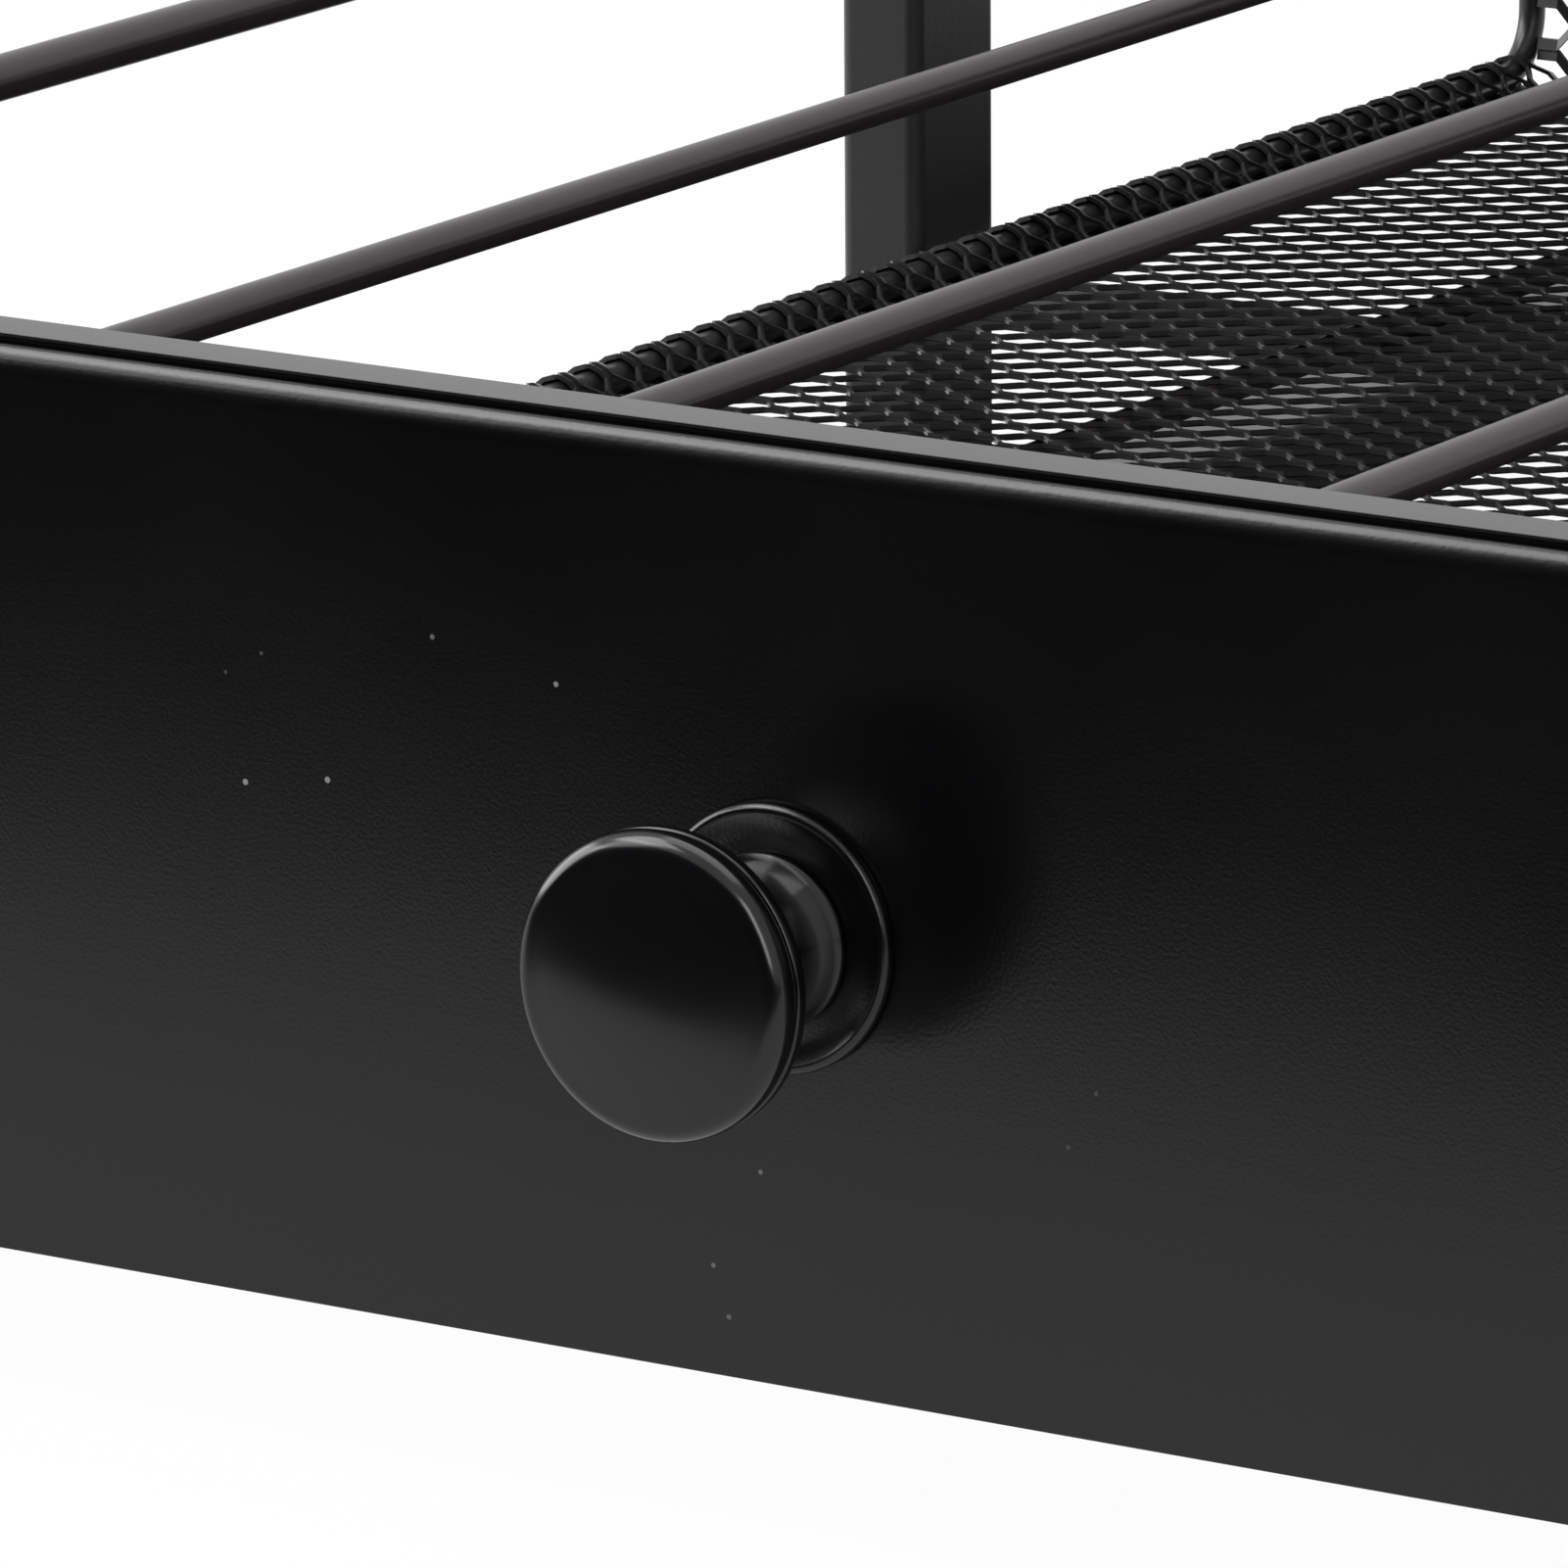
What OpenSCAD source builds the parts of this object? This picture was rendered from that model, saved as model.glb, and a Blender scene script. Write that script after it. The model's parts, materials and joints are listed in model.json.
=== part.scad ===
// Coffee pod drawer: a low steel stand with a wire and mesh drawer that slides out to the front.
// Millimetres. X runs to the right, Y to the back, Z up. The stand rests on Z = 0.
// The drawer is drawn pulled out, with its front panel towards the viewer at -Y.

/* [Stand] */
// Width over the posts
stand_w = 288; // [284:1:330]
// Depth over the posts
stand_d = 352; // [350:1:380]
// Height of the rubber feet under the base rails
foot_h = 3; // [2:0.5:6]
// Width of a post, across the stand
post_w = 8.5; // [7:0.5:10]
// Depth of a post, front to back
post_d = 14; // [12:0.5:16]
// Wall of the steel tube
tube_wall = 1.2; // [0.8:0.1:1.5]
// Height of the flat-lying tubes of the base and the top
rail_h = 8; // [7:0.5:10]
// Height of the posts above the base rails
post_h = 73; // [72:1:90]
// Thickness of the flat bars that carry the drawer
slide_bar_t = 2; // [1.5:0.5:3]
// Height of the slide bars' upper face above the surface
slide_z = 34.1; // [30:0.1:36]
// Diameter of the stand's own wires
guide_wire_dia = 4; // [3:0.5:4.5]

/* [Drawer] */
// How far the drawer is pulled out, with 0 for closed
pull_out = 236; // [0:1:240]
// Width of the front panel
panel_w = 288; // [284:1:330]
// Height of the front panel's lower edge above the surface
panel_z = 12; // [8:1:14]
// Height of the front panel
panel_h = 69.6; // [66:0.1:69.6]
// Thickness of the front panel
panel_t = 1.5; // [1:0.1:2]
// Depth of the flange behind the front panel's upper edge
flange_d = 5.4; // [4:0.1:7]
// Length of the tray, from the panel's face to the back wall
tray_l = 345; // [343:1:346]
// Distance of the tray's side wires from the middle
rim_x = 131.5; // [131:0.1:132]
// Height of the rim wire above the surface
rim_z = 80.1; // [80:0.1:80.1]
// Height of the mesh floor above the surface
floor_z = 37; // [37:0.1:38]
// Diameter of the wire along each side of the mesh floor
edge_wire_dia = 2.6; // [2.4:0.1:2.8]
// Thickness of the expanded mesh
mesh_t = 1; // [0.8:0.1:1.2]

/* [Wires] */
// Diameter of the rim wire
rim_dia = 3.8; // [3.5:0.1:4]
// Diameter of the lane wires
lane_dia = 3.2; // [3:0.1:3.4]
// Distance between neighbouring lane wires
lane_pitch = 53.2; // [52:0.1:54]
// Heights of the four lane wires above the surface, from left to right
lane_z = [74, 76.4, 73.6, 76];
// Diameter of the runner wires under the mesh floor
runner_dia = 2.8; // [2.6:0.1:2.8]

/* [Knob] */
// Height of the knob's axis above the surface
knob_z = 45.5; // [43:0.5:50]
// Diameter of the knob's face
knob_dia = 22.2; // [20:0.1:26]
// Distance from the panel to the knob's face
knob_reach = 18.2; // [16:0.1:20]
// Diameter of the round plate behind the knob
rosette_dia = 20; // [18:0.1:24]
// Diameter of the knob's screw
screw_dia = 4; // [3.5:0.1:4]

/* [Mesh] */
// Width of a diamond of the coarse mesh
cell_w = 27; // [26:1:40]
// Length of a diamond of the coarse mesh
cell_l = 20; // [19:1:30]
// Width of a strand of the mesh
strand_w = 2.4; // [2:0.1:3]

/* [Hidden] */
$fn = 48;

steel = [0.10, 0.10, 0.11];
wire_steel = [0.20, 0.18, 0.18];
rubber = [0.05, 0.05, 0.05];
zinc = [0.62, 0.62, 0.64];

// Stand
rail_w = 14;
tube_r = 1.4;
base_z = foot_h;
post_z = base_z + rail_h;
top_z = post_z + post_h;
stand_top = top_z + rail_h;
post_x = stand_w / 2 - post_w / 2;
rail_x = stand_w / 2 - rail_w / 2;
bay_w = stand_w - 2 * post_w;
side_wire_z = 68;
foot_dia = 10;
foot_inset = 12;
cross_bar_w = 14;
cap_t = 1;

// Drawer
panel_edge_r = 1.2;
panel_corner_r = 3;
panel_top = panel_z + panel_h;
sheet_t = 1;
step_h = 0.4;
groove_w = 0.35;
groove_h = 1.4;
inner_front_w = 2 * rim_x + rim_dia;
inner_front_bottom = floor_z - sheet_t;
sill_d = 9;
inner_y = panel_t + sheet_t;
flange_top = panel_top + step_h;
rim_bend_r = 5;
edge_x = 130.3;
edge_z = floor_z + 1.3;
edge_bend_r = 6;
lip_t = 0.6;
lip_inner_r = edge_wire_dia / 2 + 0.05;
lip_outer_r = lip_inner_r + lip_t;
floor_w = 2 * (edge_x - lip_outer_r);
wall_y = tray_l - rim_dia / 2 - mesh_t;
back_bar_t = 3;
back_bar_h = 8;
back_bar_y = wall_y - back_bar_t;
back_bar_z = 75;
floor_top = floor_z + mesh_t;
rim_bottom = rim_z - rim_dia / 2;
upright_y = tray_l - 1.2;
back_w = 2 * (edge_x - edge_wire_dia / 2 - 0.1);
runner_x = 88;
runner_z = floor_z - runner_dia / 2;
stop_tab_y = 262;
stop_tab_w = 14;
stop_tab_t = 1.5;
stop_tab_drop = 3;
frame_w = 8;

// Knob
knob_r = knob_dia / 2;
rosette_t = 1.2;
rosette_seat = 0.95;
edge_r = 0.8;
knob_edge = 1.4;
step_inset = 0.6;
foot_r = 6.4;
foot_edge = 0.8;
neck_r = 5;
dome_r = 62;
step_y = knob_reach - rosette_seat - knob_edge - 1.6;
stem_l = step_y - 2;
waist_y = (stem_l + foot_edge) / 2;
waist_sag = foot_r - neck_r;
waist_r = (pow((stem_l - foot_edge) / 2, 2) + pow(waist_sag, 2)) / (2 * waist_sag);
screw_hole_dia = 4.4;
screw_head_dia = 8;
screw_head_h = 2.6;
washer_dia = 9;
washer_t = 0.8;
screw_depth = 10;
screw_l = inner_y + washer_t + rosette_seat + screw_depth - 1;

// The origin is the middle of the whole outline, with the drawer as far out as it is drawn.
frame_y = (pull_out + panel_t + knob_reach - stand_d) / 2;

module on_stand() {
    translate([0, frame_y, 0]) children();
}

module on_drawer() {
    translate([0, frame_y - pull_out - panel_t, 0]) children();
}

// One rod along +Y, +X or +Z from its lower end.
module rod_y(d, l) {
    rotate([-90, 0, 0]) cylinder(d = d, h = l);
}

module rod_x(d, l) {
    rotate([0, 90, 0]) cylinder(d = d, h = l);
}

module rounded_rect(w, h, r) {
    union() {
        square([w - 2 * r, h], center = true);
        square([w, h - 2 * r], center = true);
        for (x = [-1, 1], y = [-1, 1])
            translate([x * (w / 2 - r), y * (h / 2 - r)]) circle(r = r);
    }
}

// Section of the rectangular steel tube, open inside.
module tube_section(w, h) {
    difference() {
        rounded_rect(w, h, tube_r);
        rounded_rect(w - 2 * tube_wall, h - 2 * tube_wall, tube_r - tube_wall + 0.4);
    }
}

module tube_x(w, h, l) {
    rotate([90, 0, 90]) linear_extrude(l) tube_section(w, h);
}

module tube_y(w, h, l) {
    rotate([-90, 0, 0]) linear_extrude(l) tube_section(w, h);
}

module post(side, y) {
    color(steel) on_stand()
        translate([side * post_x, y + post_d / 2, post_z])
            linear_extrude(post_h) tube_section(post_w, post_d);
}

module base_rail(side) {
    color(steel) on_stand()
        translate([side * rail_x, cap_t, base_z + rail_h / 2])
            tube_y(rail_w, rail_h, stand_d - 2 * cap_t);
}

module top_side_rail(side) {
    color(steel) on_stand()
        translate([side * rail_x, cap_t, top_z + rail_h / 2])
            tube_y(rail_w, rail_h, stand_d - 2 * cap_t);
}

// Plastic plugs that close the open ends of the four long tubes.
module tube_end_caps() {
    color(rubber) on_stand()
        for (side = [-1, 1], z = [base_z, top_z], y = [0, stand_d - cap_t])
            translate([side * rail_x, y, z + rail_h / 2]) rotate([-90, 0, 0])
                linear_extrude(cap_t) rounded_rect(rail_w, rail_h, tube_r);
}

module top_cross_rail(y) {
    color(steel) on_stand()
        translate([-stand_w / 2 + rail_w, y + cross_bar_w / 2, top_z + rail_h / 2])
            tube_x(cross_bar_w, rail_h, stand_w - 2 * rail_w);
}

// Flat bar between two posts. The drawer's runner wires slide on its upper face.
module slide_bar(y) {
    color(steel) on_stand()
        translate([-bay_w / 2, y, slide_z - slide_bar_t]) cube([bay_w, post_d, slide_bar_t]);
}

module side_wire(side) {
    color(wire_steel) on_stand()
        translate([side * post_x, post_d, side_wire_z]) rod_y(guide_wire_dia, stand_d - 2 * post_d);
}

module back_stop_wire() {
    color(wire_steel) on_stand()
        translate([-bay_w / 2, stand_d - guide_wire_dia / 2, side_wire_z])
            rod_x(guide_wire_dia, bay_w);
}

module feet() {
    color(rubber) on_stand()
        for (x = [-1, 1], y = [foot_inset, stand_d - foot_inset])
            translate([x * rail_x, y, 0]) cylinder(d1 = foot_dia - 1.5, d2 = foot_dia, h = foot_h);
}

// A flat net of diamonds inside a plain border: rows of gaps, each row set over by half a diamond.
module net(w, l, border) {
    columns = round((w - 2 * border) / cell_w);
    rows = round((l - 2 * border) / cell_l);
    pitch_w = (w - 2 * border) / columns;
    pitch_l = (l - 2 * border) / rows;
    gap_w = pitch_w - 2 * strand_w;
    gap_l = gap_w * pitch_l / pitch_w;
    difference() {
        square([w, l], center = true);
        for (row = [0 : 2 * rows - 2]) {
            odd = row % 2;
            for (column = [0 : columns - 1 - odd])
                translate([
                    (column - (columns - 1 - odd) / 2) * pitch_w,
                    (row - (rows - 1)) * pitch_l / 2
                ])
                    polygon([[-gap_w / 2, 0], [0, -gap_l / 2], [gap_w / 2, 0], [0, gap_l / 2]]);
        }
    }
}

module top_mesh() {
    inset = 4;
    color(steel) on_stand()
        translate([0, stand_d / 2, stand_top])
            linear_extrude(mesh_t) net(stand_w - 2 * inset, stand_d - 2 * inset, frame_w);
}

// Sheet panel with its upper front edge rolled over and its corners rounded.
module front_panel() {
    color(steel) on_drawer() difference() {
        translate([0, panel_t, panel_z + panel_h / 2]) rotate([90, 0, 0])
            linear_extrude(panel_t) rounded_rect(panel_w, panel_h, panel_corner_r);
        translate([-panel_w / 2 - 1, 0, 0]) rotate([90, 0, 90]) linear_extrude(panel_w + 2)
            difference() {
                translate([-1, panel_top - panel_edge_r]) square([panel_edge_r + 1, panel_edge_r + 1]);
                translate([panel_edge_r, panel_top - panel_edge_r]) circle(r = panel_edge_r);
            }
        translate([0, -1, knob_z]) rod_y(screw_hole_dia, panel_t + 2);
    }
}

// Folded sheet behind the panel: an upright web, a flange on top and a sill under the mesh floor.
module inner_front() {
    web_top = flange_top - sheet_t;
    color(steel) on_drawer() difference() {
        translate([-inner_front_w / 2, 0, 0]) rotate([90, 0, 90]) linear_extrude(inner_front_w)
            difference() {
                union() {
                    translate([panel_t, inner_front_bottom])
                        square([sheet_t, web_top - inner_front_bottom + sheet_t / 2]);
                    translate([panel_t, web_top]) square([flange_d, sheet_t]);
                    translate([panel_t, inner_front_bottom]) square([sill_d, sheet_t]);
                }
                translate([panel_t - 1, panel_top - groove_h]) square([groove_w + 1, groove_h]);
            }
        translate([0, 0, knob_z]) rod_y(screw_hole_dia, inner_y + 1);
        for (x = [-inner_front_w / 2, inner_front_w / 2 - rim_dia])
            translate([x, inner_y, web_top - 1]) cube([rim_dia, flange_d, sheet_t + 2]);
    }
}

// One wire bent round three sides of the tray, with a round bend at each back corner.
module rim_wire() {
    side_l = tray_l - inner_y - rim_bend_r;
    back_l = 2 * (rim_x - rim_bend_r);
    color(wire_steel) on_drawer() translate([0, 0, rim_z]) {
        for (side = [-1, 1])
            translate([side * rim_x, inner_y, 0]) rod_y(rim_dia, side_l);
        translate([-back_l / 2, tray_l, 0]) rod_x(rim_dia, back_l);
        translate([rim_x - rim_bend_r, tray_l - rim_bend_r, 0])
            rotate_extrude(angle = 90) translate([rim_bend_r, 0]) circle(d = rim_dia);
        translate([-rim_x + rim_bend_r, tray_l - rim_bend_r, 0]) rotate([0, 0, 90])
            rotate_extrude(angle = 90) translate([rim_bend_r, 0]) circle(d = rim_dia);
    }
}

module lane_wire(number) {
    x = (number - 2.5) * lane_pitch;
    color(wire_steel) on_drawer()
        translate([x, inner_y, lane_z[number - 1]])
            rod_y(lane_dia, back_bar_y - inner_y);
}

// Flat bar across the back of the tray that the lane wires are welded to.
module back_cross_bar() {
    color(steel) on_drawer()
        translate([-back_w / 2, back_bar_y, back_bar_z - back_bar_h / 2])
            cube([back_w, back_bar_t, back_bar_h]);
}

// Wire along the side of the mesh floor, bent up at the back to carry the rim wire.
module back_upright(side) {
    color(wire_steel) on_drawer() translate([side * edge_x, 0, 0]) {
        translate([0, inner_y, edge_z]) rod_y(edge_wire_dia, upright_y - edge_bend_r - inner_y);
        translate([0, upright_y, edge_z + edge_bend_r])
            cylinder(d = edge_wire_dia, h = rim_bottom - edge_z - edge_bend_r);
        translate([0, upright_y - edge_bend_r, edge_z + edge_bend_r]) rotate([0, 90, 0])
            rotate_extrude(angle = 90) translate([edge_bend_r, 0]) circle(d = edge_wire_dia);
    }
}

module tray_floor() {
    floor_l = wall_y + mesh_t - inner_y;
    color(steel) on_drawer()
        translate([0, inner_y + floor_l / 2, floor_z])
            linear_extrude(mesh_t) net(floor_w, floor_l, frame_w);
}

// The mesh's edge wrapped over the wire along the side.
module tray_lip(side) {
    lip_l = upright_y - edge_bend_r - inner_y;
    leg_h = edge_z - floor_z;
    color(steel) on_drawer()
        translate([side * edge_x, inner_y + lip_l, edge_z]) rotate([90, 0, 0]) linear_extrude(lip_l) {
            difference() {
                circle(r = lip_outer_r);
                circle(r = lip_inner_r);
                translate([-lip_outer_r - 1, -lip_outer_r - 1])
                    square([2 * lip_outer_r + 2, lip_outer_r + 1]);
            }
            for (x = [-lip_outer_r, lip_inner_r]) translate([x, -leg_h]) square([lip_t, leg_h]);
        }
}

// The mesh's back wall, with its top corners cut away under the bends of the rim wire.
module tray_back() {
    back_h = rim_z - floor_top;
    color(steel) on_drawer() difference() {
        translate([0, wall_y + mesh_t, floor_top + back_h / 2]) rotate([90, 0, 0])
            linear_extrude(mesh_t) net(back_w, back_h, 1);
        for (x = [-rim_x, rim_x - rim_bend_r])
            translate([x, wall_y - 1, rim_bottom]) cube([rim_bend_r, mesh_t + 2, rim_dia]);
    }
}

module runner_wire(x) {
    color(wire_steel) on_drawer()
        translate([x, panel_t + sill_d, runner_z])
            rod_y(runner_dia, wall_y - panel_t - sill_d);
}

// Small plate under the tray that meets the front slide bar when the drawer is all the way out.
module stop_tab(side) {
    tab_top = floor_z - runner_dia;
    color(steel) on_drawer()
        translate([side * runner_x - stop_tab_w / 2, stop_tab_y, tab_top - stop_tab_drop])
            cube([stop_tab_w, stop_tab_t, stop_tab_drop]);
}

// Turned knob: a domed face with a rounded, stepped edge on a waisted stem.
module knob() {
    face_y = knob_reach - rosette_seat;
    color(steel) on_drawer() translate([0, -rosette_seat, knob_z]) rotate([90, 0, 0])
        rotate_extrude($fn = 96) difference() {
            union() {
                intersection() {
                    translate([0, face_y - dome_r]) circle(r = dome_r, $fn = 240);
                    translate([0, face_y - knob_edge]) square([knob_r - edge_r, knob_edge]);
                }
                translate([0, face_y - knob_edge - edge_r]) square([knob_r - edge_r, edge_r]);
                translate([knob_r - edge_r, face_y - knob_edge]) circle(r = edge_r, $fn = 32);
                translate([0, step_y]) square([knob_r - step_inset, face_y - knob_edge - step_y]);
                square([foot_r, stem_l]);
                polygon([[0, stem_l], [foot_r, stem_l], [knob_r - step_inset, step_y], [0, step_y]]);
            }
            intersection() {
                translate([neck_r + waist_r, waist_y]) circle(r = waist_r, $fn = 96);
                translate([0, foot_edge]) square([knob_r, stem_l - foot_edge]);
            }
            translate([-1, -1]) square([screw_dia / 2 + 1, screw_depth + 1]);
        }
}

module knob_rosette() {
    color(steel) on_drawer() translate([0, 0, knob_z]) rotate([90, 0, 0])
        rotate_extrude($fn = 96) difference() {
            union() {
                square([rosette_dia / 2 - rosette_t / 2, rosette_t]);
                translate([rosette_dia / 2 - rosette_t / 2, rosette_t / 2])
                    circle(d = rosette_t, $fn = 32);
            }
            translate([-1, -1]) square([screw_hole_dia / 2 + 1, rosette_t + 2]);
            translate([-1, rosette_seat]) square([rosette_dia / 2 - 0.4, 1]);
        }
}

module screw_washer() {
    color(zinc) on_drawer() translate([0, inner_y, knob_z]) difference() {
        rod_y(washer_dia, washer_t);
        translate([0, -1, 0]) rod_y(screw_hole_dia, washer_t + 2);
    }
}

module knob_screw() {
    color(zinc) on_drawer() translate([0, inner_y + washer_t, knob_z]) {
        translate([0, -screw_l, 0]) rod_y(screw_dia, screw_l);
        rod_y(screw_head_dia, screw_head_h);
    }
}

base_rail(-1);  // base_rail_left
base_rail(1);  // base_rail_right
post(-1, 0);  // post_front_left
post(1, 0);  // post_front_right
post(-1, stand_d - post_d);  // post_rear_left
post(1, stand_d - post_d);  // post_rear_right
slide_bar(0);  // slide_bar_front
slide_bar(stand_d - post_d);  // slide_bar_rear
top_side_rail(-1);  // top_rail_left
top_side_rail(1);  // top_rail_right
top_cross_rail(0);  // top_rail_front
top_cross_rail(stand_d - cross_bar_w);  // top_rail_rear
top_cross_rail((stand_d - cross_bar_w) / 3);  // top_cross_bar_front
top_cross_rail((stand_d - cross_bar_w) * 2 / 3);  // top_cross_bar_rear
top_mesh();
tube_end_caps();
side_wire(-1);  // side_wire_left
side_wire(1);  // side_wire_right
back_stop_wire();
feet();
front_panel();
inner_front();
rim_wire();
lane_wire(1);  // lane_wire_1
lane_wire(2);  // lane_wire_2
lane_wire(3);  // lane_wire_3
lane_wire(4);  // lane_wire_4
back_cross_bar();
back_upright(-1);  // back_upright_left
back_upright(1);  // back_upright_right
tray_floor();
tray_lip(-1);  // tray_lip_left
tray_lip(1);  // tray_lip_right
tray_back();
runner_wire(-runner_x);  // runner_wire_left
runner_wire(0);  // runner_wire_middle
runner_wire(runner_x);  // runner_wire_right
stop_tab(-1);  // stop_tab_left
stop_tab(1);  // stop_tab_right
knob();
knob_rosette();
knob_screw();
screw_washer();
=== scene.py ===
# %% [markdown]
# # A coffee pod drawer in black steel
# The object is a low stand with a drawer that slides out of it: a plain sheet panel with a turned
# knob, painted wires that keep the pods in rows, and a tray of fine expanded mesh.
# Every length is in metres. X runs to the right, Y from the panel to the back, Z up from the
# worktop. The construction model is loaded first and stays fixed. Pieces that need a finer surface
# are modelled over it and then stand for its nodes.

# %% Load the construction model
import json
import math
import bmesh
import bpy
from mathutils import Matrix, Vector


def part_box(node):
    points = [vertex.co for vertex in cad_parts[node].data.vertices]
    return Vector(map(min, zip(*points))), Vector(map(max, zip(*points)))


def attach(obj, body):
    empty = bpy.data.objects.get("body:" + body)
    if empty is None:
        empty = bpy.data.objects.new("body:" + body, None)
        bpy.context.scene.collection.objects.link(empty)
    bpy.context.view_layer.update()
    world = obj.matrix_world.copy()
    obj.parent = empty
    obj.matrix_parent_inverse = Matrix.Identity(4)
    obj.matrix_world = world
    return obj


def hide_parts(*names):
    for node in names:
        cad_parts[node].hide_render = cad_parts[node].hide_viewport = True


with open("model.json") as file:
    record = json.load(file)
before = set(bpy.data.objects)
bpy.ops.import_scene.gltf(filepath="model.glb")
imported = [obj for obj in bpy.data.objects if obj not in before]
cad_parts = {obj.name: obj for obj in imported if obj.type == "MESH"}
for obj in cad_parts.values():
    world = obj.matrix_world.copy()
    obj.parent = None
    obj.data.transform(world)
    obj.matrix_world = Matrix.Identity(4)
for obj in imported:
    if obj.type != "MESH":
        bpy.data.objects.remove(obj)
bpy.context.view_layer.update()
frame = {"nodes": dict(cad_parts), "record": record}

# %% [markdown]
# ## Measures that the pieces share
# The finer pieces sit exactly where the construction model has its nodes, so their places are read
# from the nodes' boxes where that is possible. Only sizes inside a piece are written as numbers.

# %% Shared measures
mm = 0.001
near = 1e-6    # two places closer than this count as one
exact = 1e-7   # the same, for cuts and for heights that were cut
panel_low, panel_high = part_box("front_panel")
front_y = panel_low.y
web_low, web_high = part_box("inner_front")
floor_low, floor_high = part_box("tray_floor")
back_low, back_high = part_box("tray_back")
edge_low, edge_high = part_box("back_upright_right")
top_low, top_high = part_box("top_mesh")
knob_low, knob_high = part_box("knob")
knob_z = (knob_low.z + knob_high.z) / 2
print("panel face at Y", round(front_y, 5), "knob axis at Z", round(knob_z, 5))

# %% [markdown]
# ## Helpers for modelling
# An operator works on whatever is selected, so each step clears the selection first. Edges and
# vertices are then picked by a test on their place. A finished piece gets its place written into
# its mesh, rides on a body of the mechanism, and may stand for nodes of the construction model.

# %% Selecting
def clear_selection():
    """Leaves nothing selected and nothing in edit mode."""
    if bpy.context.object and bpy.context.object.mode != "OBJECT":
        bpy.ops.object.mode_set(mode="OBJECT")
    bpy.ops.object.select_all(action="DESELECT")


def only(obj):
    """Selects one object, makes it the active one and leaves the others out."""
    clear_selection()
    obj.select_set(True)
    bpy.context.view_layer.objects.active = obj


def edit(obj):
    """Opens one object in edit mode, with nothing in it selected."""
    only(obj)
    bpy.ops.object.mode_set(mode="EDIT")
    bpy.ops.mesh.select_mode(type="VERT")
    bpy.ops.mesh.select_all(action="DESELECT")


def pick_vertices(obj, test):
    """Selects the vertices whose place passes the test, and the edges and faces between them."""
    bpy.ops.mesh.select_mode(type="VERT")
    mesh = bmesh.from_edit_mesh(obj.data)
    for v in mesh.verts:
        v.select_set(test(v.co))
    mesh.select_flush(True)
    bmesh.update_edit_mesh(obj.data)


def pick_edges(obj, test):
    """Selects the edges that pass a test on their two ends."""
    bpy.ops.mesh.select_mode(type="EDGE")
    mesh = bmesh.from_edit_mesh(obj.data)
    for e in mesh.edges:
        e.select_set(test(e.verts[0].co, e.verts[1].co))
    bmesh.update_edit_mesh(obj.data)


def pick_faces(obj, test):
    """Selects the faces that pass a test on the place of their middle."""
    bpy.ops.mesh.select_mode(type="FACE")
    mesh = bmesh.from_edit_mesh(obj.data)
    for f in mesh.faces:
        f.select_set(test(f.calc_center_median()))
    bmesh.update_edit_mesh(obj.data)


print("selection helpers ready")


# %% Starting, changing and finishing a piece
def block(low, high):
    """A cube primitive between two corners, as the start of a piece."""
    clear_selection()
    low, high = Vector(low), Vector(high)
    bpy.ops.mesh.primitive_cube_add(size=1, location=(low + high) / 2)
    obj = bpy.context.object
    obj.scale = high - low
    bpy.ops.object.transform_apply(location=True, rotation=True, scale=True)
    return obj


def move_all(obj, way):
    """Moves the whole mesh of an object, and leaves the object itself where it is."""
    edit(obj)
    bpy.ops.mesh.select_all(action="SELECT")
    bpy.ops.transform.translate(value=way)
    clear_selection()


def cut(point, normal):
    """Cuts the mesh that is open in edit mode along a plane, and keeps both sides."""
    bpy.ops.mesh.select_all(action="SELECT")
    bpy.ops.mesh.bisect(plane_co=point, plane_no=normal, threshold=exact)


def apply_modifier(obj, kind, **settings):
    """Adds a modifier with these settings and applies it at once."""
    only(obj)
    modifier = obj.modifiers.new(kind.title(), kind)
    for name, value in settings.items():
        setattr(modifier, name, value)
    bpy.ops.object.modifier_apply(modifier=modifier.name)


def join(first, others):
    """Makes one object of several."""
    only(first)
    for other in others:
        other.select_set(True)
    bpy.ops.object.join()


def outward(obj):
    """Merges doubles and turns every face outwards."""
    edit(obj)
    bpy.ops.mesh.select_all(action="SELECT")
    bpy.ops.mesh.remove_doubles(threshold=2 * near)
    bpy.ops.mesh.normals_make_consistent(inside=False)
    clear_selection()


def shade(obj, angle):
    """Smooth shading, broken at edges sharper than this angle."""
    only(obj)
    bpy.ops.object.shade_smooth_by_angle(angle=math.radians(angle))


def finish_piece(obj, name, body, finish, stands_for=()):
    """Names a piece, writes its place into its mesh, gives it a finish and a body to ride on."""
    only(obj)
    bpy.ops.object.transform_apply(location=True, rotation=True, scale=True)
    obj.name = obj.data.name = name
    obj.data.materials.clear()
    obj.data.materials.append(finish)
    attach(obj, body)
    if stands_for:
        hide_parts(*stands_for)
    triangles = sum(len(p.vertices) - 2 for p in obj.data.polygons)
    print(name, "rides on", body, "with", triangles, "triangles")


print("modelling helpers ready")

# %% [markdown]
# ## Helpers for finishes
# A finish is a small sum: a plain paint colour, plus a little unevenness here, less gloss there.
# Such a sum is easiest to read as Python, so a node's output is wrapped in a class whose operators
# add Math nodes.

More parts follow.
